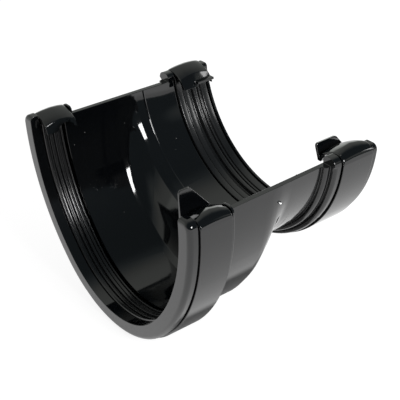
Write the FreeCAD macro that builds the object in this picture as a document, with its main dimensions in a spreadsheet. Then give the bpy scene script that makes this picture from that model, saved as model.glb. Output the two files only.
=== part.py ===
import FreeCAD, Part
import os
import Sketcher

# Gutter adaptor: a moulded trough that joins a deep gutter to a half-round one.
# X runs across the trough, Y along it from the deep mouth, Z up from the rim of the trough.

SIZES = {
    # Bores that the two gutters lie in
    "deep_width": 115.0,
    "deep_depth": 73.0,
    "deep_bottom_radius": 46.5,
    "half_radius": 56.5,
    "half_rise": 8.0,
    "wall": 2.5,
    # Lengths along the trough, in order from the deep mouth
    "lip_length": 4.3,
    "groove_width": 0.5,
    "deep_band_length": 15.7,
    "rim_length": 1.0,
    "deep_trough_length": 20.5,
    "ramp_length": 15.0,
    "half_trough_length": 15.8,
    "step_length": 2.9,
    "ring_length": 3.8,
    "half_band_length": 17.2,
    "mouth_length": 2.4,
    # Heights of the socket rings above their bores
    "lip_rise": 7.25,
    "band_rise": 8.0,
    "step_rise": 4.7,
    "groove_depth": 0.8,
    # Seal pockets, from the bore outward
    "pocket_rise": 5.0,
    "deep_land": 5.0,
    "deep_pocket_length": 12.3,
    "half_land": 1.2,
    "half_pocket_length": 20.3,
    # Seals: thickness at the web, on the flats and on the ribs, then lengths from the deep mouth
    "seal_clearance": 0.4,
    "seal_web": 3.2,
    "seal_flat": 4.4,
    "seal_crest": 5.4,
    "deep_edge_rib": 1.2,
    "deep_valley": 2.0,
    "deep_middle_rib": 3.5,
    "deep_flat": 3.6,
    "half_front_flat": 6.7,
    "half_valley": 1.9,
    "half_middle_rib": 2.5,
    "half_back_flat": 7.2,
    # Hooks, ears and release tabs
    "lip_ear_height": 4.5,
    "rim_ear_height": 3.4,
    "ring_ear_height": 3.8,
    "mouth_ear_height": 3.0,
    "deep_hook_height": 3.2,
    "half_hook_height": 4.1,
    "hook_dome": 1.6,
    "hook_ledge": 0.3,
    "hook_reach": 12.5,
    "hook_wall": 1.8,
    "crown_fall": 3.1,
    "crown_radius": 25.0,
    "tip_drop": 3.6,
    "deep_hook_lean": 1.3,
    "half_hook_lean": 3.2,
    "tab_wall": 1.5,
    "tab_round": 1.4,
    "deep_tab_length": 14.8,
    "deep_tab_height": 11.8,
    "deep_tab_crown": 5.2,
    "deep_tab_tail": 0.5,
    "deep_tab_lean": 2.0,
    "half_tab_length": 14.8,
    "half_tab_height": 3.7,
    "half_tab_crown": 11.2,
    "half_tab_tail": -1.5,
    "half_tab_lean": 17.0,
    "arch_length": 9.0,
    "arch_margin": 0.8,
    "deep_arch_height": 3.0,
    "half_arch_height": 1.7,
    "tongue_wall": 1.2,
    "tongue_reach": 3.0,
    # Rounded edges
    "lip_round": 2.2,
    "fold_round": 0.8,
}
RAMP_SHARES = (0.0, 0.07, 0.33, 0.67, 0.93, 1.0)
RAMP_STATIONS = (0.0, 0.19, 0.4, 0.6, 0.81, 1.0)
DOME_SHARES = (0.0, 0.36, 0.75, 1.0, 0.75, 0.36, 0.0)
DOME_STATIONS = (0.0, 0.1, 0.25, 0.5, 0.75, 0.9, 1.0)
EAR_OUTER_SHARE = 0.85
EAR_INNER_SHARE = 0.6
HEEL_SHARE = 0.3
JOIN = "sqrt(0.5)"

doc = FreeCAD.newDocument("GutterAdaptor")
sheet = doc.addObject("Spreadsheet::Sheet", "Sizes")
for row, (alias, number) in enumerate(SIZES.items(), 1):
    sheet.set(f"A{row}", alias)
    sheet.set(f"B{row}", str(number))
    sheet.setAlias(f"B{row}", alias)
doc.recompute()


def size(name):
    """The expression for one cell of the sheet."""
    return f"Sizes.{name}"


def total(*terms):
    """The expression for a sum of cells or expressions."""
    return "(" + " + ".join(size(t) if t in SIZES else t for t in terms) + ")"


def value(expression):
    """An expression's number now, for drawing a sketch before its constraints hold it."""
    return float(sheet.evalExpression(expression))


def add_sketch(body, name, role, offset="0", lean=None):
    """A sketch on one of the body's origin planes, moved along its normal and leaned back about its x."""
    plane = [p for p in body.Origin.OriginFeatures if p.Role == role][0]
    sketch = body.newObject("Sketcher::SketchObject", name)
    sketch.AttachmentSupport = [(plane, "")]
    sketch.MapMode = "FlatFace"
    if lean:
        back = FreeCAD.Rotation(FreeCAD.Vector(-1, 0, 0), value(lean))
        sketch.AttachmentOffset = FreeCAD.Placement(FreeCAD.Vector(), back)
        sketch.setExpression("AttachmentOffset.Rotation.Angle", lean)
    sketch.setExpression("AttachmentOffset.Base.z", offset)
    return sketch


def add_outline(sketch, corners, closed=True):
    """Draws lines and arcs through corners (x, y, radius) and ties each one to the sheet.

    The radius belongs to the stretch that starts at the corner: None is a straight line, and an
    arc bows to the right of its way when the radius has no minus sign in front.
    """
    points = [FreeCAD.Vector(value(x), value(y), 0) for x, y, _ in corners]
    count = len(corners) if closed else len(corners) - 1
    first = sketch.GeometryCount
    for i in range(count):
        start = points[i]
        end = points[(i + 1) % len(points)]
        radius = corners[i][2]
        if radius is None:
            sketch.addGeometry(Part.LineSegment(start, end))
            continue
        chord = end - start
        reach = abs(value(radius))
        sagitta = reach - max(reach ** 2 - chord.Length ** 2 / 4, 0.0) ** 0.5
        side = FreeCAD.Vector(chord.y, -chord.x, 0).normalize()
        if radius.startswith("-"):
            side = -side
            start, end = end, start
        middle = (start + end) * 0.5 + side * sagitta
        sketch.addGeometry(Part.Arc(start, middle, end))
    start_of = []
    for i in range(count):
        geometry = sketch.Geometry[first + i]
        forward = (geometry.StartPoint - points[i]).Length < 1e-6
        start_of.append(1 if forward else 2)
    for i in range(count):
        follower = i + 1
        if follower == count:
            if not closed:
                break
            follower = 0
        end_of = 3 - start_of[i]
        sketch.addConstraint(
            Sketcher.Constraint("Coincident", first + i, end_of, first + follower, start_of[follower]))
    for i, (x, y, radius) in enumerate(corners):
        last = not closed and i == count
        geometry = first + (count - 1 if last else i)
        vertex = 3 - start_of[count - 1] if last else start_of[i]
        for kind, expression in (("DistanceX", x), ("DistanceY", y)):
            number = sketch.addConstraint(
                Sketcher.Constraint(kind, -1, 1, geometry, vertex, value(expression)))
            sketch.setExpression(f"Constraints[{number}]", expression)
        if radius is not None and not last:
            number = sketch.addConstraint(
                Sketcher.Constraint("Radius", geometry, abs(value(radius))))
            sketch.setExpression(f"Constraints[{number}]", radius.lstrip("-"))
    return sketch


def trough_corners(half_width, depth, bottom):
    """A trough section of three arcs in tangent: two sides and a bottom that spans a right angle."""
    centre = f"({bottom} - {depth})"
    join_x = f"({bottom} * {JOIN})"
    join_z = f"({centre} - {bottom} * {JOIN})"
    gain = (f"(({half_width})^2 + {centre}^2 - {bottom}^2)"
            f" / (2 * {bottom} - ({half_width} + {centre}) / {JOIN})")
    side = f"({bottom} + {gain})"
    return [
        (f"-({half_width})", "0", side),
        (f"-{join_x}", join_z, bottom),
        (join_x, join_z, side),
        (half_width, "0", None),
    ]


def deep_section(offset):
    """Half width, depth and bottom radius of the deep bore, grown outward by an offset."""
    return (f"({size('deep_width')} / 2 + {offset})",
            f"({size('deep_depth')} + {offset})",
            f"({size('deep_bottom_radius')} + {offset})")


def half_section(offset):
    """The same three sizes for the half-round bore, whose centre lies above the rim."""
    radius = f"({size('half_radius')} + {offset})"
    return (f"sqrt({radius}^2 - {size('half_rise')}^2)",
            f"({radius} - {size('half_rise')})",
            radius)


def pad_trough(body, name, section, start, length):
    """A solid trough section, extruded along the adaptor from a place to a length beyond it."""
    sketch = add_sketch(body, name + "_sketch", "XZ_Plane", f"-{start}")
    add_outline(sketch, trough_corners(*section))
    pad = body.newObject("PartDesign::Pad", name)
    pad.Profile = sketch
    pad.Reversed = True
    pad.setExpression("Length", length)
    return pad


def cut_trough(body, name, section, start, length):
    """The same, taken away."""
    sketch = add_sketch(body, name + "_sketch", "XZ_Plane", f"-{start}")
    add_outline(sketch, trough_corners(*section))
    pocket = body.newObject("PartDesign::Pocket", name)
    pocket.Profile = sketch
    pocket.setExpression("Length", length)
    return pocket


# Places along the trough
LIP_END = size("lip_length")
DEEP_BAND_START = total("lip_length", "groove_width")
DEEP_BAND_END = total(DEEP_BAND_START, "deep_band_length")
RIM_START = total(DEEP_BAND_END, "groove_width")
RIM_END = total(RIM_START, "rim_length")
DEEP_END = total(RIM_END, "deep_trough_length")
RAMP_END = total(DEEP_END, "ramp_length")
STEP_START = total(RAMP_END, "half_trough_length")
RING_START = total(STEP_START, "step_length")
RING_END = total(RING_START, "ring_length")
HALF_BAND_START = total(RING_END, "groove_width")
HALF_BAND_END = total(HALF_BAND_START, "half_band_length")
MOUTH_START = total(HALF_BAND_END, "groove_width")
MOUTH_END = total(MOUTH_START, "mouth_length")
GROOVE_RISE = f"({size('lip_rise')} - {size('groove_depth')})"


def trough_section(place, share, offset):
    """The trough's section at a place: its width narrows evenly, its depth follows the ramp's share."""
    deep = deep_section(offset)
    half = half_section(offset)
    way = f"(({place} - {RIM_END}) / ({STEP_START} - {RIM_END}))"
    width = f"({deep[0]} * (1 - {way}) + {half[0]} * {way})"
    depth = f"({deep[1]} * {1 - share:g} + {half[1]} * {share:g})"
    bottom = f"({deep[2]} * {1 - share:g} + {half[2]} * {share:g})"
    return width, depth, bottom


def loft_trough(body, kind, name, offset):
    """The trough between the sockets: a deep stretch, the ramp up from it and a half-round stretch."""
    ramp = [(f"({DEEP_END} + {size('ramp_length')} * {station:g})", share)
            for station, share in zip(RAMP_STATIONS, RAMP_SHARES)]
    stretches = {
        "deep": [(RIM_END, 0.0), (DEEP_END, 0.0)],
        "ramp": ramp,
        "half": [(RAMP_END, 1.0), (STEP_START, 1.0)],
    }
    for stretch, stations in stretches.items():
        sketches = []
        for number, (place, share) in enumerate(stations):
            sketch = add_sketch(body, f"{name}_{stretch}_section_{number}", "XZ_Plane", f"-{place}")
            section = trough_section(place, share, offset)
            sketches.append(add_outline(sketch, trough_corners(*section)))
        doc.recompute()
        loft = body.newObject(kind, f"{name}_{stretch}")
        loft.Profile = sketches[0]
        loft.Sections = sketches[1:]
        loft.Ruled = True


adaptor = doc.addObject("PartDesign::Body", "adaptor_body")
adaptor.Label = "adaptor_body"

# Outside of the trough and its socket rings
for name, section, start, length in (
        ("lip", deep_section(size("lip_rise")), "0", LIP_END),
        ("lip_groove", deep_section(GROOVE_RISE), LIP_END, size("groove_width")),
        ("deep_band", deep_section(size("band_rise")), DEEP_BAND_START, size("deep_band_length")),
        ("rim_groove", deep_section(GROOVE_RISE), DEEP_BAND_END, size("groove_width")),
        ("rim", deep_section(size("lip_rise")), RIM_START, size("rim_length"))):
    pad_trough(adaptor, name, section, start, length)
loft_trough(adaptor, "PartDesign::AdditiveLoft", "trough", size("wall"))
for name, section, start, length in (
        ("step", half_section(size("step_rise")), STEP_START, size("step_length")),
        ("ring", half_section(size("lip_rise")), RING_START, size("ring_length")),
        ("ring_groove", half_section(GROOVE_RISE), RING_END, size("groove_width")),
        ("half_band", half_section(size("band_rise")), HALF_BAND_START, size("half_band_length")),
        ("mouth_groove", half_section(GROOVE_RISE), HALF_BAND_END, size("groove_width")),
        ("mouth", half_section(size("lip_rise")), MOUTH_START, size("mouth_length"))):
    pad_trough(adaptor, name, section, start, length)

# Bores, the ramp inside and the two seal pockets
DEEP_POCKET_START = size("deep_land")
HALF_POCKET_END = f"({MOUTH_END} - {size('half_land')})"
HALF_POCKET_START = f"({HALF_POCKET_END} - {size('half_pocket_length')})"
cut_trough(adaptor, "deep_bore", deep_section("0"), "0", RIM_END)
loft_trough(adaptor, "PartDesign::SubtractiveLoft", "bore", "0")
cut_trough(adaptor, "half_bore", half_section("0"), STEP_START, f"({MOUTH_END} - {STEP_START})")
cut_trough(adaptor, "deep_pocket", deep_section(size("pocket_rise")),
           DEEP_POCKET_START, size("deep_pocket_length"))
cut_trough(adaptor, "half_pocket", half_section(size("pocket_rise")),
           HALF_POCKET_START, size("half_pocket_length"))
doc.recompute()


def pad_outline(name, corners, start, length):
    """A piece with a section across the trough, extruded along it."""
    sketch = add_sketch(adaptor, name + "_sketch", "XZ_Plane", f"-{start}")
    add_outline(sketch, corners)
    pad = adaptor.newObject("PartDesign::Pad", name)
    pad.Profile = sketch
    pad.Reversed = True
    pad.setExpression("Length", length)
    return pad


def ear_corners(inner, outer, top, domed):
    """The end of a socket ring, standing on the rim: rounded outside, and inside too where it is domed."""
    turn = f"({top} * {EAR_OUTER_SHARE})"
    corners = [
        (inner, "0", None),
        (outer, "0", None),
        (outer, f"({top} - {turn})", turn),
        (f"({outer} - {turn})", top, None),
    ]
    if not domed:
        return corners + [(inner, top, None)]
    bend = f"({top} * {EAR_INNER_SHARE})"
    return corners + [(f"({inner} + {bend})", top, bend), (inner, f"({top} - {bend})", None)]


def hook_corners(inner, outer, lean, rise):
    """A post on the socket wall, a crowned roof that falls inward and a leg that turns down."""
    thick = size("hook_wall")
    bend = size("fold_round")
    fall = size("crown_fall")
    middle = f"({outer} - {rise})"
    fold_x = f"({outer} - {size('hook_reach')})"
    fold_z = f"({rise} - {fall})"
    heel_x = f"({fold_x} + {thick})"
    tip_x = f"({fold_x} - {lean})"
    tip_z = f"-{size('tip_drop')}"
    span = f"({middle} - {fold_x})"
    chord = f"sqrt({span}^2 + {fall}^2)"
    dip = f"((atan({fall} / {span}) + asin({chord} / 2 / {size('crown_radius')})) / 1 deg)"
    slope = f"(atan({lean} / ({fold_z} + {size('tip_drop')})) / 1 deg)"
    trim = f"({bend} * tan(45 - {dip} / 2 - {slope} / 2))"
    ceiling = f"({rise} - {thick} * {chord} / {span})"
    return [
        (outer, "0", rise),
        (middle, rise, size("crown_radius")),
        (f"({fold_x} + {trim} * cos({dip}))", f"({fold_z} + {trim} * sin({dip}))", bend),
        (f"({fold_x} - {trim} * sin({slope}))", f"({fold_z} - {trim} * cos({slope}))", None),
        (tip_x, tip_z, None),
        (f"({tip_x} + {thick})", tip_z, None),
        (heel_x, f"({fold_z} + {thick} * ({fall} / {span} - {HEEL_SHARE}))", None),
        (middle, ceiling, None),
        (inner, ceiling, None),
        (inner, "0", None),
    ]


def loft_hook(name, inner, outer, start, length):
    """A hook whose roof is domed along the trough, highest over the middle of its band."""
    lean = size(name + "_lean")
    sketches = []
    for number, (station, share) in enumerate(zip(DOME_STATIONS, DOME_SHARES)):
        rise = f"({size(name + '_height')} + {size('hook_dome')} * {share:g})"
        place = f"({start} + {length} * {station:g})"
        sketch = add_sketch(adaptor, f"{name}_section_{number}", "XZ_Plane", f"-{place}")
        sketches.append(add_outline(sketch, hook_corners(inner, outer, lean, rise)))
    doc.recompute()
    loft = adaptor.newObject("PartDesign::AdditiveLoft", name)
    loft.Profile = sketches[0]
    loft.Sections = sketches[1:]
    loft.Ruled = True
    return loft


# Ears and hooks on one side, then mirrored to the other
DEEP_BORE = deep_section("0")[0]
DEEP_RING = deep_section(size("lip_rise"))[0]
DEEP_POST = deep_section(size("pocket_rise"))[0]
DEEP_OUTER = f"({deep_section(size('band_rise'))[0]} - {size('hook_ledge')})"
HALF_BORE = half_section("0")[0]
HALF_RING = half_section(size("lip_rise"))[0]
HALF_POST = half_section(size("pocket_rise"))[0]
HALF_OUTER = f"({half_section(size('band_rise'))[0]} - {size('hook_ledge')})"
sides = []
for name, inner, outer, start, domed in (
        ("lip", DEEP_BORE, DEEP_RING, "0", False),
        ("rim", DEEP_BORE, DEEP_RING, RIM_START, True),
        ("ring", HALF_BORE, HALF_RING, RING_START, True),
        ("mouth", HALF_BORE, HALF_RING, MOUTH_START, True)):
    ear = ear_corners(inner, outer, size(name + "_ear_height"), domed)
    sides.append(pad_outline(name + "_ear", ear, start, size(name + "_length")))
sides += [
    loft_hook("deep_hook", DEEP_POST, DEEP_OUTER, DEEP_BAND_START, size("deep_band_length")),
    loft_hook("half_hook", HALF_POST, HALF_OUTER, HALF_BAND_START, size("half_band_length")),
]
doc.recompute()
mirror = adaptor.newObject("PartDesign::Mirrored", "other_side")
mirror.Originals = sides
mirror.MirrorPlane = ([p for p in adaptor.Origin.OriginFeatures if p.Role == "YZ_Plane"][0], [""])
adaptor.Tip = mirror
doc.recompute()


def round_edges(name, radius, wanted):
    """Rounds the edges of the adaptor that a test picks by their place."""
    edges = [f"Edge{i}" for i, edge in enumerate(adaptor.Shape.Edges, 1) if wanted(edge)]
    base = adaptor.Tip
    fillet = adaptor.newObject("PartDesign::Fillet", name)
    fillet.Base = (base, edges)
    fillet.setExpression("Radius", radius)
    doc.recompute()


def on_lip_rim(edge):
    """True for the outermost edge of the deep mouth's flat end, below the rim."""
    box = edge.BoundBox
    flat = abs(box.YMin) < FLATNESS and abs(box.YMax) < FLATNESS
    depth = value(deep_section(size("lip_rise"))[1])
    return flat and abs(box.ZMin + depth) < FLATNESS


FLATNESS = 1e-3
round_edges("lip_edge", size("lip_round"), on_lip_rim)


def tip_place(outer, lean):
    """Where a hook's leg ends, measured from the middle of the trough."""
    return f"({outer} - {size('hook_reach')} - {lean})"


def add_tab(name, tip, start, kind):
    """A release tab that stands on the tip of a front hook and slopes down to its far end."""
    lean = size(kind + "_tab_lean")
    drop = size("tip_drop")
    place = f"({tip} - {drop} * tan({lean}))"
    sketch = add_sketch(adaptor, name + "_sketch", "YZ_Plane", place, lean)
    end = f"({start} + {size(kind + '_tab_length')})"
    top = f"({size(kind + '_tab_height')} / cos({lean}))"
    bottom = f"(-{drop} / cos({lean}))"
    tail = size(kind + "_tab_tail")
    crown = f"({start} + {size(kind + '_tab_crown')})"
    turn = size("tab_round")
    slope = f"(atan(({top} - {tail}) / ({end} - {crown})) / 1 deg)"
    trim = f"({turn} * tan({slope} / 2))"
    add_outline(sketch, [
        (start, bottom, None),
        (end, bottom, None),
        (end, tail, None),
        (f"({crown} + {trim} * cos({slope}))", f"({top} - {trim} * sin({slope}))", turn),
        (f"({crown} - {trim})", top, None),
        (f"({start} + {turn})", top, turn),
        (start, f"({top} - {turn})", None),
    ])
    pad = adaptor.newObject("PartDesign::Pad", name)
    pad.Profile = sketch
    pad.setExpression("Length", size("tab_wall"))
    return pad


def cut_arch(name, tip, end, kind):
    """An arch in the lower edge of a back hook's leg, near its far end."""
    sketch = add_sketch(adaptor, name + "_sketch", "YZ_Plane", f"-({tip} - {size('hook_wall')})")
    height = size(kind + "_arch_height")
    chord = size("arch_length")
    bow = f"(({chord}^2 / 4 + {height}^2) / (2 * {height}))"
    foot = f"(-{size('tip_drop')})"
    last = f"({end} - {size('arch_margin')})"
    add_outline(sketch, [
        (f"({last} - {chord})", foot, None),
        (last, foot, bow),
    ])
    pocket = adaptor.newObject("PartDesign::Pocket", name)
    pocket.Profile = sketch
    pocket.setExpression("Length", f"{size(kind + '_hook_lean')} + 3 * {size('hook_wall')}")
    return pocket


DEEP_TIP = tip_place(DEEP_OUTER, size("deep_hook_lean"))
HALF_TIP = tip_place(HALF_OUTER, size("half_hook_lean"))
add_tab("deep_tab", DEEP_TIP, DEEP_BAND_START, "deep")
add_tab("half_tab", HALF_TIP, HALF_BAND_START, "half")
cut_arch("deep_arch", DEEP_TIP, DEEP_BAND_END, "deep")
cut_arch("half_arch", HALF_TIP, HALF_BAND_END, "half")
doc.recompute()

# The small tongue above the arch of the half-round socket's back hook
TONGUE_FOOT = f"({size('half_arch_height')} - {size('tip_drop')})"
TONGUE_TOP = f"({TONGUE_FOOT} + {size('tongue_wall')})"
TONGUE_ROOT = f"-({HALF_TIP} + {size('hook_wall')})"
TONGUE_EDGE = f"({TONGUE_ROOT} + {size('tongue_reach')})"
TONGUE_LENGTH = total("arch_length", "arch_margin")
pad_outline("tongue", [
    (TONGUE_ROOT, TONGUE_FOOT, None),
    (TONGUE_EDGE, TONGUE_FOOT, None),
    (TONGUE_EDGE, TONGUE_TOP, None),
    (TONGUE_ROOT, TONGUE_TOP, None),
], f"({HALF_BAND_END} - {TONGUE_LENGTH})", TONGUE_LENGTH)
doc.recompute()


def seal_length(stretches):
    """The whole width of a seal along the trough."""
    return total(*(part for part, _ in stretches))


def add_seal(label, section, start, stretches):
    """A rubber strip on the floor of a pocket, cut to a height of its own over each stretch."""
    seal = doc.addObject("PartDesign::Body", label)
    seal.Label = label
    pad_trough(seal, label + "_strip", section(size("pocket_rise")), start, seal_length(stretches))
    for number, (part, height) in enumerate(stretches):
        inside = f"({size('pocket_rise')} - {size(height)})"
        cut_trough(seal, f"{label}_cut_{number}", section(inside), start, size(part))
        start = total(start, part)
    return seal


# Each seal lies a clearance away from the land at its own mouth
DEEP_STRETCHES = [
    ("deep_edge_rib", "seal_crest"),
    ("deep_valley", "seal_web"),
    ("deep_middle_rib", "seal_crest"),
    ("deep_flat", "seal_flat"),
]
HALF_STRETCHES = [
    ("half_front_flat", "seal_flat"),
    ("half_valley", "seal_web"),
    ("half_middle_rib", "seal_crest"),
    ("half_back_flat", "seal_flat"),
]
DEEP_SEAL_START = total(DEEP_POCKET_START, "seal_clearance")
HALF_SEAL_START = f"({HALF_POCKET_END} - {size('seal_clearance')} - {seal_length(HALF_STRETCHES)})"
deep_seal = add_seal("deep_socket_seal", deep_section, DEEP_SEAL_START, DEEP_STRETCHES)
half_seal = add_seal("half_round_socket_seal", half_section, HALF_SEAL_START, HALF_STRETCHES)
doc.recompute()

# Every feature and every piece is sound before any file is written
failed = [o.Name for o in doc.Objects if "Invalid" in o.State or "Error" in o.State]
if failed:
    raise RuntimeError(f"features failed: {failed}")
pieces = (adaptor, deep_seal, half_seal)
for piece in pieces:
    if piece.Shape.isNull() or not piece.Shape.isValid() or len(piece.Shape.Solids) != 1:
        raise RuntimeError(f"{piece.Label} is not one valid solid")
os.makedirs("parts", exist_ok=True)
for piece in pieces:
    piece.Shape.exportStep(f"parts/{piece.Label}.step")
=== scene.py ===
import math

import bpy
from mathutils import Matrix, Vector


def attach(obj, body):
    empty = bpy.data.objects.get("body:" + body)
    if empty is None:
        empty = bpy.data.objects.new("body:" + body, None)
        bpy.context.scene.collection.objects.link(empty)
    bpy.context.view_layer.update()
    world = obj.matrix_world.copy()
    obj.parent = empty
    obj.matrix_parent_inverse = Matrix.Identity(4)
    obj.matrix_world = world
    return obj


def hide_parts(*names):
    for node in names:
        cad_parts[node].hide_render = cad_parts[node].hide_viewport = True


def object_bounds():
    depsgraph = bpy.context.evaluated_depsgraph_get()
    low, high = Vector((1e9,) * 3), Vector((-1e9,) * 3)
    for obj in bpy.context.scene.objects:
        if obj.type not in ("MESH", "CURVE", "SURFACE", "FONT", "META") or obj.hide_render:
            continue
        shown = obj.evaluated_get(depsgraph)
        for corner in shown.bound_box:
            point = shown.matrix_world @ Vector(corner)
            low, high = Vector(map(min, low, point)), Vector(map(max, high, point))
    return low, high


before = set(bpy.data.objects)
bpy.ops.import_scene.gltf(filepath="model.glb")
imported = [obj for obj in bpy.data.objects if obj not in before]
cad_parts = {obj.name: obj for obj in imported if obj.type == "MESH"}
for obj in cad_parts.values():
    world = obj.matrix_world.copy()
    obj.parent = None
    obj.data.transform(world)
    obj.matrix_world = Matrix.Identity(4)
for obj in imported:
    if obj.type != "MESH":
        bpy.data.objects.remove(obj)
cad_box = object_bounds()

MM = 0.001

# Camera, worked out from the adaptor's own edges in the picture
VIEW_AZIMUTH = math.radians(54.548)
VIEW_ELEVATION = math.radians(30.554)
VIEW_ROLL = math.radians(-3.009)
VIEW_DISTANCE = 466.83 * MM
VIEW_TARGET = Vector((0.0, 51.94, -33.63)) * MM
VIEW_LENS = 90.95
VIEW_SENSOR = 36.0
VIEW_CLIP = (0.01, 20.0)

# Seal profiles from the pocket floor: place along the trough and height, in millimetres
DEEP_SEAL_PROFILE = (
    (5.4, 0.0), (5.4, 4.7), (5.75, 5.4), (6.55, 5.4), (7.05, 3.3), (8.65, 3.3), (8.95, 4.5),
    (9.75, 4.5), (10.0, 3.5), (10.75, 3.5), (11.0, 5.1), (12.2, 5.1), (12.5, 3.7), (12.85, 3.7),
    (13.05, 4.3), (14.4, 4.3), (14.6, 3.6), (14.85, 4.9), (15.45, 4.9), (15.7, 4.5), (15.7, 0.0))
HALF_SEAL_PROFILE = (
    (80.7, 0.0), (80.7, 3.8), (81.1, 4.4), (83.9, 4.4), (84.15, 3.9), (84.4, 4.4), (87.3, 4.4),
    (87.7, 3.3), (89.3, 3.3), (89.7, 5.1), (90.1, 5.4), (91.3, 5.4), (91.75, 5.1), (92.1, 3.6),
    (92.8, 3.6), (93.05, 4.6), (93.7, 4.6), (94.0, 3.5), (94.8, 3.5), (95.1, 4.4), (98.6, 4.4),
    (99.0, 4.0), (99.0, 0.0))
RIB_ROUND = 0.22
RIB_ANGLE = 18
STRIP_WELD = 0.001
STRIP_SMOOTH_ANGLE = 40

# Arcs of the two pockets, in millimetres
DEEP_FLOOR_X = 62.5
DEEP_SIDE_CENTRE = (-26.556, 0.056)
DEEP_BOTTOM_CENTRE = (0.0, -26.5)
HALF_FLOOR_RADIUS = 61.5
HALF_CENTRE = (0.0, 8.0)
HALF_SEAL_TOP = -0.02
HALF_BORE_RADIUS = 56.5
TROUGH_WALL = 2.5

# Outer folds of the hooks, in millimetres: first and last place along the trough, hinge, fold,
# the skirt to reach, and the place across or the height that a moved point lies beyond
HOOK_FOLDS = (
    (4.7, 20.6, 60.4, 65.2, 65.5, (64.0, 2.95)),
    (80.2, 98.0, 58.4, 63.7, 64.0, (62.5, 3.85)))
FOLD_WELD = 0.02

# Hidden face of the deep hook's release tab, in millimetres: where it is and how far it moves
TAB_ACROSS = (50.4, 51.75)
TAB_ALONG = (4.0, 21.0)
TAB_ABOVE = 2.2
TAB_MOVE = 0.65

# Cuts that divide the faces running right round a socket: place in millimetres and facing
SOCKET_CUTS = (
    ((0.0, 0.0, -0.6), (0.0, 0.0, 1.0)),
    ((0.0, 0.0, -30.0), (0.0, 0.0, 1.0)),
    ((0.0, 0.0, 0.0), (1.0, 0.0, 0.0)))

# Rounded edges of the moulding, in millimetres and degrees: how wide, and where along the trough
EDGE_ROUND = 0.16
STEP_ROUND = 1.7
HOOK_END_ROUND = 0.6
RIM_ROUND = 0.45
RIM_END = 22.0
RING_STEPS = ((73.3, 60.5), (76.2, 62.8))
HOOK_ENDS = (4.8, 20.5, 80.5, 97.7)
ON_PLACE = 0.02
BELOW_TOP = -0.2
ABOVE_TOP = 0.4
SHARP_ANGLE = 27
MOULDING_WELD = 0.004
MOULDING_FLAT_ANGLE = 0.5
COPY_SMOOTH_ANGLE = 28
MOULDING_SMOOTH_ANGLE = 42

# Marks of the mould, in millimetres
LINE_PLACE = 61.3
LINE_PROFILE = (
    (-0.4, -0.1), (-0.4, 0.0), (-0.3, 0.044), (-0.2, 0.075), (-0.1, 0.094), (0.0, 0.1),
    (0.1, 0.094), (0.2, 0.075), (0.3, 0.044), (0.4, 0.0), (0.4, -0.1))
LINE_TOP = -0.3
PIP_PLACE = (58.4, 49.7, -7.7)
PIP_FACING = (0.97, 0.18, -0.14)
PIP_BREAK = (0.83, -0.24, 0.5)
PIP_RADIUS = 0.6
PIP_LENGTH = 2.4
PIP_STANDS_OUT = 0.55
PIP_ROUND = 0.08
PIP_ANGLE = 30

# Black gloss plastic
PLASTIC_IOR = 1.6
PLASTIC_COLOUR = (0.0014, 0.0017, 0.0022, 1.0)
PLASTIC_DUST_COLOUR = (0.07, 0.07, 0.066, 1.0)
PLASTIC_DUST = (300.0, 0.07)
PLASTIC_ROUGHNESS = (0.045, 0.095)
PLASTIC_DUST_ROUGHNESS = 0.5
FLOW_STRETCH = (0.35, 1.0, 2.6)
FLOW_TURN = (math.radians(28), 0.0, 0.0)
FLOW_RELIEF = (0.2, 0.1 * MM)

# Satin black rubber
RUBBER_IOR = 1.55
RUBBER_COLOURS = ((0.005, 0.0052, 0.0056, 1.0), (0.010, 0.0104, 0.011, 1.0))
RUBBER_DUST_COLOUR = (0.06, 0.06, 0.057, 1.0)
RUBBER_DUST = (360.0, 0.07)
RUBBER_ROUGHNESS = (0.16, 0.24)
RUBBER_LINE_STRETCH = (0.02, 1.0, 0.02)
RUBBER_LINE_RELIEF = (0.25, 0.04 * MM)

EVEN = (1.0, 1.0, 1.0)
UNTURNED = (0.0, 0.0, 0.0)

# Floor, in metres; its painted shadow, which only gloss shows, has a way, a middle, where it is dark
# and where it ends
FLOOR_SIZE = 14.0
FLOOR_COLOUR = (0.3, 0.3, 0.3, 1.0)
FLOOR_SEEN_COLOUR = (0.85, 0.85, 0.85, 1.0)
PAINTED_SHADOW_OUTLINE = (("X", 0.0, 0.039, 0.048), ("Y", 0.045, 0.025, 0.05))
PAINTED_SHADOW_DARKEST = 0.05

# Dim room that the gloss shows: each patch's facing, its inner and outer angle, and its level
ROOM_RADIUS = 6.0
ROOM_PATCHES = (
    ((-1.0, 0.0, 0.0), 70.0, 104.0, 0.42),
    ((-0.75, -0.7, 0.1), 26.5, 29.0, 0.25),
    ((0.72, 0.64, 0.27), 4.0, 12.0, 0.34),
    ((-0.85, 0.5, 0.0), 17.0, 26.0, 0.7),
    ((0.0, 0.0, 1.0), 175.0, 179.0, 0.12))
ROOM_DARK_TINT = (0.7, 0.9, 1.0, 1.0)
ROOM_LIGHT_TINT = (0.96, 1.0, 0.95, 1.0)
ROOM_TINT_LEVELS = (0.06, 0.42)

# Light from the world on matt surfaces; where it is seen its strength is 1
WORLD_LIGHT = 0.5

# Soft lamps, in metres and watts: name, place, target, width, height and power
SOFTBOXES = (
    ("side_softbox", (1.055, 0.11, 0.475), (-0.05, 0.055, -0.018), 0.42, 0.28, 9.0),
    ("back_softbox", (0.6, 0.93, 0.26), (-0.05, 0.09, -0.02), 0.36, 0.4, 3.0))


# Modelling


def deselect_all():
    """Nothing stays selected, so that an operator acts on one piece only."""
    bpy.ops.object.select_all(action="DESELECT")


def pick(piece):
    """Makes one piece the selected and active one."""
    deselect_all()
    piece.select_set(True)
    bpy.context.view_layer.objects.active = piece


def edit_all(piece):
    """Opens one piece for editing, with all of it selected."""
    pick(piece)
    bpy.ops.object.mode_set(mode="EDIT")
    bpy.ops.mesh.select_all(action="SELECT")


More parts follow.
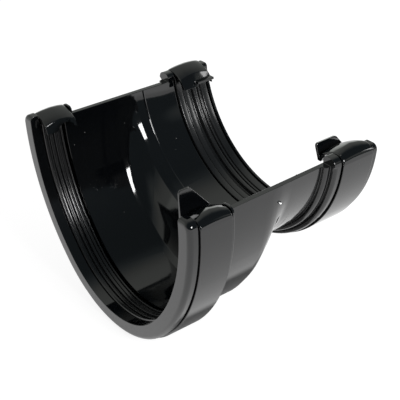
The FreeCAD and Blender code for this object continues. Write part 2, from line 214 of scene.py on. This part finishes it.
def apply_modifier(piece, modifier):
    """Makes a modifier's result the piece's own mesh."""
    pick(piece)
    bpy.ops.object.modifier_apply(modifier=modifier.name)


def bevel_by_angle(piece, width, segments, angle, clamp=True):
    """Rounds the edges that are sharper than an angle."""
    bevel = piece.modifiers.new("rounded_edges", "BEVEL")
    bevel.width = width * MM
    bevel.segments = segments
    bevel.limit_method = "ANGLE"
    bevel.angle_limit = math.radians(angle)
    bevel.use_clamp_overlap = clamp
    apply_modifier(piece, bevel)


def edit_points(piece, wanted):
    """Opens a piece for editing, with only the points selected whose place passes a test."""
    bpy.context.tool_settings.mesh_select_mode = (True, False, False)
    for face in piece.data.polygons:
        face.select = False
    for edge in piece.data.edges:
        edge.select = False
    for vertex in piece.data.vertices:
        across, along, height = vertex.co / MM
        vertex.select = wanted(across, along, height)
    pick(piece)
    bpy.ops.object.mode_set(mode="EDIT")


def moulding_copy(node, name):
    """A welded copy of a CAD node, with flat faces in one piece and no imported shading."""
    piece = bpy.data.objects.new(name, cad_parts[node].data.copy())
    bpy.context.scene.collection.objects.link(piece)
    edit_all(piece)
    bpy.ops.mesh.remove_doubles(threshold=MOULDING_WELD * MM)
    bpy.ops.mesh.dissolve_limited(angle_limit=math.radians(MOULDING_FLAT_ANGLE))
    bpy.ops.object.mode_set(mode="OBJECT")
    if piece.data.has_custom_normals:
        bpy.ops.mesh.customdata_custom_splitnormals_clear()
    bpy.ops.object.shade_smooth_by_angle(angle=math.radians(COPY_SMOOTH_ANGLE))
    return piece


def flush_fold(piece, first, last, hinge, fold, skirt, clear_of):
    """Moves a hook's outer fold out until it lies level with the skirt below it."""
    share = (skirt - hinge) / (fold - hinge)
    for side in (-1, 1):
        def in_fold(across, along, height):
            out = across * side
            return (first < along < last and hinge < out < fold + 0.05 and height > -0.01
                    and (out > clear_of[0] or height > clear_of[1]))

        edit_points(piece, in_fold)
        bpy.ops.transform.resize(value=(share, 1.0, 1.0),
                                 center_override=(side * hinge * MM, 0.0, 0.0))
        bpy.ops.mesh.select_all(action="SELECT")
        bpy.ops.mesh.remove_doubles(threshold=FOLD_WELD * MM)
        bpy.ops.object.mode_set(mode="OBJECT")


def thin_tab(piece):
    """Moves the hidden face of the deep hook's release tab closer to the face that shows."""
    def in_hidden_face(across, along, height):
        return (TAB_ACROSS[0] < across < TAB_ACROSS[1] and TAB_ALONG[0] < along < TAB_ALONG[1]
                and height > TAB_ABOVE)

    edit_points(piece, in_hidden_face)
    bpy.ops.transform.translate(value=(TAB_MOVE * MM, 0.0, 0.0))
    bpy.ops.object.mode_set(mode="OBJECT")


def cut_line(piece, place, facing):
    """Cuts an edge line round the moulding, so that no face runs right round a socket."""
    edit_all(piece)
    bpy.ops.mesh.bisect(plane_co=Vector(place) * MM, plane_no=facing)
    bpy.ops.object.mode_set(mode="OBJECT")


def choose_edges(piece, wanted):
    """Selects the sharp edges that pass a test of their two ends and the two faces beside them."""
    mesh = piece.data
    beside = {}
    for face in mesh.polygons:
        face.select = False
        for key in face.edge_keys:
            beside.setdefault(key, []).append(face)
    for vertex in mesh.vertices:
        vertex.select = False
    bpy.context.tool_settings.mesh_select_mode = (False, True, False)
    for edge in mesh.edges:
        faces = beside.get(edge.key, ())
        a, b = (mesh.vertices[i].co / MM for i in edge.vertices)
        edge.select = (
            len(faces) == 2
            and faces[0].normal.angle(faces[1].normal, 0.0) > math.radians(SHARP_ANGLE)
            and wanted(a, b, faces[0], faces[1]))


def round_edges(piece, wanted, width, segments):
    """Rounds the sharp edges that pass a test."""
    choose_edges(piece, wanted)
    pick(piece)
    bpy.ops.object.mode_set(mode="EDIT")
    bpy.ops.mesh.bevel(offset=width * MM, segments=segments, affect="EDGES", clamp_overlap=False)
    bpy.ops.object.mode_set(mode="OBJECT")


def at_place(a, b, along):
    """Whether an edge's two ends lie at one place along the trough."""
    return abs(a.y - along) < ON_PLACE and abs(b.y - along) < ON_PLACE


def flatter_along(one, other):
    """The one of two faces that faces less along the trough."""
    return one if abs(one.normal.y) < abs(other.normal.y) else other


def on_ring_step(a, b, one, other):
    """The outer edges of the two steps before the half-round socket."""
    reach = math.hypot((a.x + b.x) / 2.0 - HALF_CENTRE[0], (a.z + b.z) / 2.0 - HALF_CENTRE[1])
    return a.z + b.z < BELOW_TOP and any(
        at_place(a, b, along) and reach > inside for along, inside in RING_STEPS)


def on_hook_end(a, b, one, other):
    """The roof edges at the two ends of each hook."""
    roof = flatter_along(one, other).normal
    return (a.z + b.z > ABOVE_TOP and roof.z > 0.15 and abs(roof.y) < 0.6
            and any(at_place(a, b, along) for along in HOOK_ENDS))


def on_rim(a, b, one, other):
    """The outer edge of the thin rim behind the deep socket."""
    side = flatter_along(one, other)
    return (at_place(a, b, RIM_END) and a.z + b.z < BELOW_TOP
            and side.center.y < (RIM_END - 0.05) * MM)


def round_sharp_edges(piece, width, segments):
    """Rounds every edge that is still sharp, then keeps the flat faces flat in shading."""
    bevel_by_angle(piece, width, segments, SHARP_ANGLE, clamp=False)
    bpy.ops.object.shade_smooth_by_angle(angle=math.radians(MOULDING_SMOOTH_ANGLE))
    weighted = piece.modifiers.new("flat_faces", "WEIGHTED_NORMAL")
    weighted.keep_sharp = True
    apply_modifier(piece, weighted)


def start_profile(name, corners, start):
    """Draws a strip's closed profile, corner by corner, in the plane where its sweep starts."""
    deselect_all()
    bpy.context.tool_settings.mesh_select_mode = (True, False, False)
    bpy.ops.mesh.primitive_plane_add(size=1.0 * MM)
    piece = bpy.context.object
    piece.name = name
    piece.data.name = name
    bpy.ops.object.mode_set(mode="EDIT")
    bpy.ops.mesh.merge(type="CENTER")
    here = Vector((0.0, 0.0, 0.0))
    for number, (along, height) in enumerate(corners):
        there = Vector((start[0] - height, along, start[1])) * MM
        if number == 0:
            bpy.ops.transform.translate(value=there - here)
        else:
            bpy.ops.mesh.extrude_vertices_move(TRANSFORM_OT_translate={"value": there - here})
        here = there
    bpy.ops.mesh.select_all(action="SELECT")
    bpy.ops.mesh.edge_face_add()
    return piece


def sweep(centre, degrees, steps):
    """Spins the selected end of a strip about a line along the trough."""
    bpy.ops.mesh.spin(steps=steps, angle=-math.radians(degrees),
                      center=Vector((centre[0], 0.0, centre[1])) * MM, axis=(0.0, 1.0, 0.0))


def trim_ends(top):
    """Cuts a swept strip level at its two upper ends."""
    bpy.ops.mesh.select_all(action="SELECT")
    bpy.ops.mesh.bisect(plane_co=(0.0, 0.0, top * MM), plane_no=(0.0, 0.0, 1.0), use_fill=True,
                        clear_outer=True)


def close_strip():
    """Joins a swept strip's points where they meet and turns its faces outwards."""
    bpy.ops.mesh.select_all(action="SELECT")
    bpy.ops.mesh.remove_doubles(threshold=STRIP_WELD * MM)
    bpy.ops.mesh.normals_make_consistent(inside=False)
    bpy.ops.object.mode_set(mode="OBJECT")


def finish_seal(piece, node, rubber):
    """Rounds a seal's ribs and puts it in its CAD node's place."""
    close_strip()
    bevel_by_angle(piece, RIB_ROUND, 3, RIB_ANGLE)
    bpy.ops.object.shade_smooth_by_angle(angle=math.radians(STRIP_SMOOTH_ANGLE))
    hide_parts(node)
    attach(piece, "root")
    piece.data.materials.clear()
    piece.data.materials.append(rubber)


def finish_moulding(piece, plastic):
    """The body and the marks of its mould are one plastic and ride together."""
    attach(piece, "root")
    piece.data.materials.clear()
    piece.data.materials.append(plastic)


def add_body(plastic):
    """The moulded adaptor: trough, sockets, hooks and tabs."""
    body = moulding_copy("adaptor_body", "adaptor_moulding")
    for fold in HOOK_FOLDS:
        flush_fold(body, *fold)
    thin_tab(body)
    for place, facing in SOCKET_CUTS:
        cut_line(body, place, facing)
    round_edges(body, on_ring_step, STEP_ROUND, 5)
    round_edges(body, on_rim, RIM_ROUND, 4)
    round_edges(body, on_hook_end, HOOK_END_ROUND, 4)
    round_sharp_edges(body, EDGE_ROUND, 2)
    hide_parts("adaptor_body")
    finish_moulding(body, plastic)


def add_deep_seal(rubber):
    """The ribbed strip round the deep socket: two sides and the bottom."""
    seal = start_profile("deep_socket_seal_strip", DEEP_SEAL_PROFILE,
                         (DEEP_FLOOR_X, DEEP_SIDE_CENTRE[1]))
    sweep(DEEP_SIDE_CENTRE, 45, 12)
    sweep(DEEP_BOTTOM_CENTRE, 90, 28)
    sweep((-DEEP_SIDE_CENTRE[0], DEEP_SIDE_CENTRE[1]), 45, 12)
    finish_seal(seal, "deep_socket_seal", rubber)


def add_half_round_seal(rubber):
    """The ribbed strip round the half-round socket, level at its ends."""
    seal = start_profile("half_round_socket_seal_strip", HALF_SEAL_PROFILE,
                         (HALF_CENTRE[0] + HALF_FLOOR_RADIUS, HALF_CENTRE[1]))
    sweep(HALF_CENTRE, 180, 72)
    trim_ends(HALF_SEAL_TOP)
    finish_seal(seal, "half_round_socket_seal", rubber)


def add_witness_line(name, radius, way, plastic):
    """A fine rounded ridge round the half-round trough, where two parts of the mould met."""
    profile = [(LINE_PLACE + along, way * height) for along, height in LINE_PROFILE]
    line = start_profile(name, profile, (HALF_CENTRE[0] + radius, HALF_CENTRE[1]))
    sweep(HALF_CENTRE, 180, 96)
    trim_ends(LINE_TOP)
    close_strip()
    bpy.ops.object.shade_smooth_by_angle(angle=math.radians(STRIP_SMOOTH_ANGLE))
    finish_moulding(line, plastic)


def add_gate_pip(plastic):
    """The small pip on the outer wall where plastic entered the mould, snapped off at a slant."""
    facing = Vector(PIP_FACING).normalized()
    place = Vector(PIP_PLACE) * MM
    deselect_all()
    bpy.ops.mesh.primitive_cylinder_add(
        vertices=24, radius=PIP_RADIUS * MM, depth=PIP_LENGTH * MM, location=place,
        rotation=facing.to_track_quat("Z", "Y").to_euler())
    pip = bpy.context.object
    pip.name = "gate_pip"
    pip.data.name = "gate_pip"
    bpy.ops.object.transform_apply(location=True, rotation=True, scale=True)
    edit_all(pip)
    bpy.ops.mesh.bisect(plane_co=place + facing * PIP_STANDS_OUT * MM,
                        plane_no=Vector(PIP_BREAK).normalized(), use_fill=True, clear_outer=True)
    bpy.ops.object.mode_set(mode="OBJECT")
    bevel_by_angle(pip, PIP_ROUND, 2, PIP_ANGLE)
    bpy.ops.object.shade_smooth_by_angle(angle=math.radians(PIP_ANGLE))
    finish_moulding(pip, plastic)


# Materials


def new_material(name):
    """A material with an empty node tree, its output and its main shader."""
    material = bpy.data.materials.new(name)
    material.use_nodes = True
    tree = material.node_tree
    tree.nodes.clear()
    output = tree.nodes.new("ShaderNodeOutputMaterial")
    shader = tree.nodes.new("ShaderNodeBsdfPrincipled")
    tree.links.new(shader.outputs["BSDF"], output.inputs["Surface"])
    return material, tree, shader


def feed(tree, value, socket):
    """Links a node's output to a socket, or writes a plain value on it."""
    if isinstance(value, bpy.types.NodeSocket):
        tree.links.new(value, socket)
    else:
        socket.default_value = value


def combine(tree, operation, first, second):
    """One number from two."""
    node = tree.nodes.new("ShaderNodeMath")
    node.operation = operation
    feed(tree, first, node.inputs[0])
    feed(tree, second, node.inputs[1])
    return node.outputs["Value"]


def link_range(tree, value, low, high, first, last, smooth=False):
    """Spreads a value between two limits over a new range."""
    spread = tree.nodes.new("ShaderNodeMapRange")
    if smooth:
        spread.interpolation_type = "SMOOTHSTEP"
    spread.inputs["From Min"].default_value = low
    spread.inputs["From Max"].default_value = high
    spread.inputs["To Min"].default_value = first
    spread.inputs["To Max"].default_value = last
    tree.links.new(value, spread.inputs["Value"])
    return spread.outputs["Result"]


def split_place(tree, vector):
    """The three parts of a vector."""
    parts = tree.nodes.new("ShaderNodeSeparateXYZ")
    tree.links.new(vector, parts.inputs["Vector"])
    return parts.outputs


def own_place(tree):
    """A point's place in the piece's own coordinates."""
    return tree.nodes.new("ShaderNodeTexCoord").outputs["Object"]


def stretched_noise(tree, vector, stretch, turn, scale, detail):
    """Noise in the piece's own coordinates, drawn out along one way."""
    place = tree.nodes.new("ShaderNodeMapping")
    place.inputs["Rotation"].default_value = turn
    place.inputs["Scale"].default_value = stretch
    noise = tree.nodes.new("ShaderNodeTexNoise")
    noise.inputs["Scale"].default_value = scale
    noise.inputs["Detail"].default_value = detail
    tree.links.new(vector, place.inputs["Vector"])
    tree.links.new(place.outputs["Vector"], noise.inputs["Vector"])
    return noise.outputs["Fac"]


def colour_mix(tree, factor, one, other):
    """A colour between two, by a factor."""
    mix = tree.nodes.new("ShaderNodeMixRGB")
    tree.links.new(factor, mix.inputs["Fac"])
    feed(tree, one, mix.inputs["Color1"])
    feed(tree, other, mix.inputs["Color2"])
    return mix.outputs["Color"]


def add_bump(tree, shader, height, relief):
    """Relief from a height, on the main shader."""
    bump = tree.nodes.new("ShaderNodeBump")
    bump.inputs["Strength"].default_value = relief[0]
    bump.inputs["Distance"].default_value = relief[1]
    tree.links.new(height, bump.inputs["Height"])
    tree.links.new(bump.outputs["Normal"], shader.inputs["Normal"])


def dust_group():
    """Fine dust: a few small specks, gathered in patches."""
    group = bpy.data.node_groups.new("fine_dust", "ShaderNodeTree")
    sockets = group.interface
    sockets.new_socket("Vector", in_out="INPUT", socket_type="NodeSocketVector")
    spacing = sockets.new_socket("Specks per Metre", in_out="INPUT", socket_type="NodeSocketFloat")
    spacing.default_value = 400.0
    cover = sockets.new_socket("Speck Size", in_out="INPUT", socket_type="NodeSocketFloat")
    cover.default_value = 0.1
    sockets.new_socket("Dust", in_out="OUTPUT", socket_type="NodeSocketFloat")
    start = group.nodes.new("NodeGroupInput").outputs
    finish = group.nodes.new("NodeGroupOutput")
    specks = group.nodes.new("ShaderNodeTexVoronoi")
    group.links.new(start["Vector"], specks.inputs["Vector"])
    group.links.new(start["Specks per Metre"], specks.inputs["Scale"])
    inside = combine(group, "LESS_THAN", specks.outputs["Distance"], start["Speck Size"])
    patches = stretched_noise(group, start["Vector"], EVEN, UNTURNED, 55.0, 2.0)
    patches = link_range(group, patches, 0.5, 0.75, 0.03, 0.6)
    chance = split_place(group, specks.outputs["Color"])["X"]
    kept = combine(group, "LESS_THAN", chance, patches)
    group.links.new(combine(group, "MULTIPLY", inside, kept), finish.inputs["Dust"])
    return group


def dust_node(tree, vector, group, amount):
    """The dust effect with a material's own spacing and size of speck."""
    node = tree.nodes.new("ShaderNodeGroup")
    node.node_tree = group
    node.inputs["Specks per Metre"].default_value = amount[0]
    node.inputs["Speck Size"].default_value = amount[1]
    tree.links.new(vector, node.inputs["Vector"])
    return node.outputs["Dust"]


def gloss_plastic(dust):
    """Black gloss plastic with flow lines from moulding, slight haze and a little dust."""
    material, tree, shader = new_material("gloss_black_plastic")
    shader.inputs["IOR"].default_value = PLASTIC_IOR
    where = own_place(tree)
    specks = dust_node(tree, where, dust, PLASTIC_DUST)
    flow = stretched_noise(tree, where, FLOW_STRETCH, FLOW_TURN, 60.0, 1.0)
    haze = stretched_noise(tree, where, EVEN, UNTURNED, 36.0, 4.0)
    tree.links.new(colour_mix(tree, specks, PLASTIC_COLOUR, PLASTIC_DUST_COLOUR),
                   shader.inputs["Base Color"])
    rough = link_range(tree, haze, 0.3, 0.7, *PLASTIC_ROUGHNESS)
    dusty = link_range(tree, specks, 0.0, 1.0, 0.0, PLASTIC_DUST_ROUGHNESS)
    tree.links.new(combine(tree, "ADD", rough, dusty), shader.inputs["Roughness"])
    add_bump(tree, shader, flow, FLOW_RELIEF)
    return material


def seal_rubber(dust):
    """Satin black rubber with the fine lines that extruding leaves along each strip."""
    material, tree, shader = new_material("satin_rubber")
    shader.inputs["IOR"].default_value = RUBBER_IOR
    where = own_place(tree)
    specks = dust_node(tree, where, dust, RUBBER_DUST)
    lines = stretched_noise(tree, where, RUBBER_LINE_STRETCH, UNTURNED, 850.0, 1.0)
    cloud = stretched_noise(tree, where, EVEN, UNTURNED, 120.0, 3.0)
    base = colour_mix(tree, cloud, *RUBBER_COLOURS)
    tree.links.new(colour_mix(tree, specks, base, RUBBER_DUST_COLOUR),
                   shader.inputs["Base Color"])
    tree.links.new(link_range(tree, lines, 0.3, 0.7, *RUBBER_ROUGHNESS),
                   shader.inputs["Roughness"])
    add_bump(tree, shader, lines, RUBBER_LINE_RELIEF)
    return material


# Floor, light and camera


def white_to_view(tree, shade=None):
    """A mask for the rays that show a surface: direct, in gloss (with any painted shade) or through
    glass.
    """
    path = tree.nodes.new("ShaderNodeLightPath").outputs
    gloss = path["Is Glossy Ray"]
    if shade is not None:
        gloss = combine(tree, "MULTIPLY", gloss, shade)
    seen = combine(tree, "MAXIMUM", path["Is Camera Ray"], gloss)
    return combine(tree, "MAXIMUM", seen, path["Is Transmission Ray"])


def painted_shadow_of_adaptor(tree):
    """A soft shadow painted into the floor's glow for gloss rays: nearly dark in its middle, gone
    outside.
    """
    parts = split_place(tree, own_place(tree))
    shade = None
    for name, middle, dark, light in PAINTED_SHADOW_OUTLINE:
        away = combine(tree, "SUBTRACT", parts[name], middle)
        away = combine(tree, "ABSOLUTE", away, 0.0)
        level = link_range(tree, away, dark, light, PAINTED_SHADOW_DARKEST, 1.0, smooth=True)
        shade = level if shade is None else combine(tree, "MAXIMUM", shade, level)
    return shade


def add_floor():
    """A wide white floor that keeps a soft cast shadow, shows white in gloss too but with a painted
    shadow under the adaptor, and is clear below.
    """
    deselect_all()
    bpy.ops.mesh.primitive_plane_add(size=FLOOR_SIZE, location=(0.0, 0.0, cad_box[0].z))
    floor = bpy.context.object
    floor.name = "floor"
    material, tree, shader = new_material("white_floor")
    shader.inputs["Base Color"].default_value = FLOOR_COLOUR
    shader.inputs["Roughness"].default_value = 1.0
    shader.inputs["Specular IOR Level"].default_value = 0.0
    shader.inputs["Emission Color"].default_value = FLOOR_SEEN_COLOUR
    # In gloss the floor's glow is darkened under the adaptor: a painted shadow, not one the lamps
    # cast.
    tree.links.new(white_to_view(tree, painted_shadow_of_adaptor(tree)),
                   shader.inputs["Emission Strength"])
    see_through = tree.nodes.new("ShaderNodeBsdfTransparent")
    below = tree.nodes.new("ShaderNodeNewGeometry")
    mix = tree.nodes.new("ShaderNodeMixShader")
    output = tree.nodes["Material Output"]
    tree.links.new(below.outputs["Backfacing"], mix.inputs["Fac"])
    tree.links.new(shader.outputs["BSDF"], mix.inputs[1])
    tree.links.new(see_through.outputs["BSDF"], mix.inputs[2])
    tree.links.new(mix.outputs["Shader"], output.inputs["Surface"])
    material.cycles.emission_sampling = "NONE"
    floor.data.materials.append(material)


def soft_patch(tree, direction, facing, inner, outer, level):
    """A soft round patch of light on the room's wall, by the angles from its middle."""
    towards = tree.nodes.new("ShaderNodeVectorMath")
    towards.operation = "DOT_PRODUCT"
    towards.inputs[1].default_value = Vector(facing).normalized()
    tree.links.new(direction, towards.inputs[0])
    return link_range(tree, towards.outputs["Value"], math.cos(math.radians(outer)),
                      math.cos(math.radians(inner)), 0.0, level, smooth=True)


def dim_room_light():
    """Light from the room's wall for gloss rays, and nothing at all for other rays."""
    material = bpy.data.materials.new("dim_room")
    material.use_nodes = True
    material.cycles.emission_sampling = "NONE"
    tree = material.node_tree
    tree.nodes.clear()
    output = tree.nodes.new("ShaderNodeOutputMaterial")
    mix = tree.nodes.new("ShaderNodeMixShader")
    clear = tree.nodes.new("ShaderNodeBsdfTransparent")
    glow = tree.nodes.new("ShaderNodeEmission")
    path = tree.nodes.new("ShaderNodeLightPath")
    unit = tree.nodes.new("ShaderNodeVectorMath")
    unit.operation = "NORMALIZE"
    tree.links.new(own_place(tree), unit.inputs[0])
    level = None
    for patch in ROOM_PATCHES:
        light = soft_patch(tree, unit.outputs["Vector"], *patch)
        level = light if level is None else combine(tree, "ADD", level, light)
    strong = link_range(tree, level, *ROOM_TINT_LEVELS, 0.0, 1.0)
    tree.links.new(colour_mix(tree, strong, ROOM_DARK_TINT, ROOM_LIGHT_TINT),
                   glow.inputs["Color"])
    tree.links.new(level, glow.inputs["Strength"])
    tree.links.new(path.outputs["Is Glossy Ray"], mix.inputs["Fac"])
    tree.links.new(clear.outputs["BSDF"], mix.inputs[1])
    tree.links.new(glow.outputs["Emission"], mix.inputs[2])
    tree.links.new(mix.outputs["Shader"], output.inputs["Surface"])
    return material


def add_dim_room():
    """The dim room above the table, which only the gloss shows."""
    deselect_all()
    middle = (0.0, 0.0, cad_box[0].z)
    bpy.ops.mesh.primitive_uv_sphere_add(segments=48, ring_count=24, radius=ROOM_RADIUS,
                                         location=middle)
    room = bpy.context.object
    room.name = "dim_room"
    edit_all(room)
    bpy.ops.mesh.bisect(plane_co=middle, plane_no=(0.0, 0.0, 1.0), clear_inner=True)
    bpy.ops.object.mode_set(mode="OBJECT")
    bpy.ops.object.shade_smooth()
    room.data.materials.append(dim_room_light())


def add_world():
    """Even white light all round, at a strength of 1 where it is seen."""
    world = bpy.data.worlds.new("studio")
    bpy.context.scene.world = world
    world.use_nodes = True
    world.cycles.sampling_method = "NONE"
    tree = world.node_tree
    background = tree.nodes["Background"]
    background.inputs["Color"].default_value = (1.0, 1.0, 1.0, 1.0)
    tree.links.new(link_range(tree, white_to_view(tree), 0.0, 1.0, WORLD_LIGHT, 1.0),
                   background.inputs["Strength"])


def add_softbox(name, place, target, width, height, power):
    """A soft square lamp that faces a point on the adaptor."""
    data = bpy.data.lights.new(name, "AREA")
    data.shape = "RECTANGLE"
    data.size = width
    data.size_y = height
    data.energy = power
    lamp = bpy.data.objects.new(name, data)
    bpy.context.scene.collection.objects.link(lamp)
    lamp.location = place
    towards = Vector(target) - Vector(place)
    lamp.rotation_euler = towards.to_track_quat("-Z", "Y").to_euler()


def add_camera():
    """The camera at the picture's angle, distance and roll."""
    back = Vector((math.sin(VIEW_AZIMUTH) * math.cos(VIEW_ELEVATION),
                   -math.cos(VIEW_AZIMUTH) * math.cos(VIEW_ELEVATION),
                   math.sin(VIEW_ELEVATION)))
    level = Vector((math.cos(VIEW_AZIMUTH), math.sin(VIEW_AZIMUTH), 0.0))
    upright = back.cross(level)
    right = level * math.cos(VIEW_ROLL) + upright * math.sin(VIEW_ROLL)
    up = upright * math.cos(VIEW_ROLL) - level * math.sin(VIEW_ROLL)
    data = bpy.data.cameras.new("photo_view")
    data.lens = VIEW_LENS
    data.sensor_width = VIEW_SENSOR
    data.clip_start, data.clip_end = VIEW_CLIP
    camera = bpy.data.objects.new("photo_view", data)
    bpy.context.scene.collection.objects.link(camera)
    place = VIEW_TARGET + back * VIEW_DISTANCE
    turn = Matrix((right, up, back)).transposed()
    camera.matrix_world = Matrix.Translation(place) @ turn.to_4x4()
    bpy.context.scene.camera = camera


dust = dust_group()
plastic = gloss_plastic(dust)
rubber = seal_rubber(dust)
add_body(plastic)
add_deep_seal(rubber)
add_half_round_seal(rubber)
add_witness_line("inner_witness_line", HALF_BORE_RADIUS, 1.0, plastic)
add_witness_line("outer_witness_line", HALF_BORE_RADIUS + TROUGH_WALL, -0.6, plastic)
add_gate_pip(plastic)

add_floor()
add_dim_room()
add_world()
for softbox in SOFTBOXES:
    add_softbox(*softbox)
add_camera()
bpy.context.scene.view_settings.view_transform = "Standard"
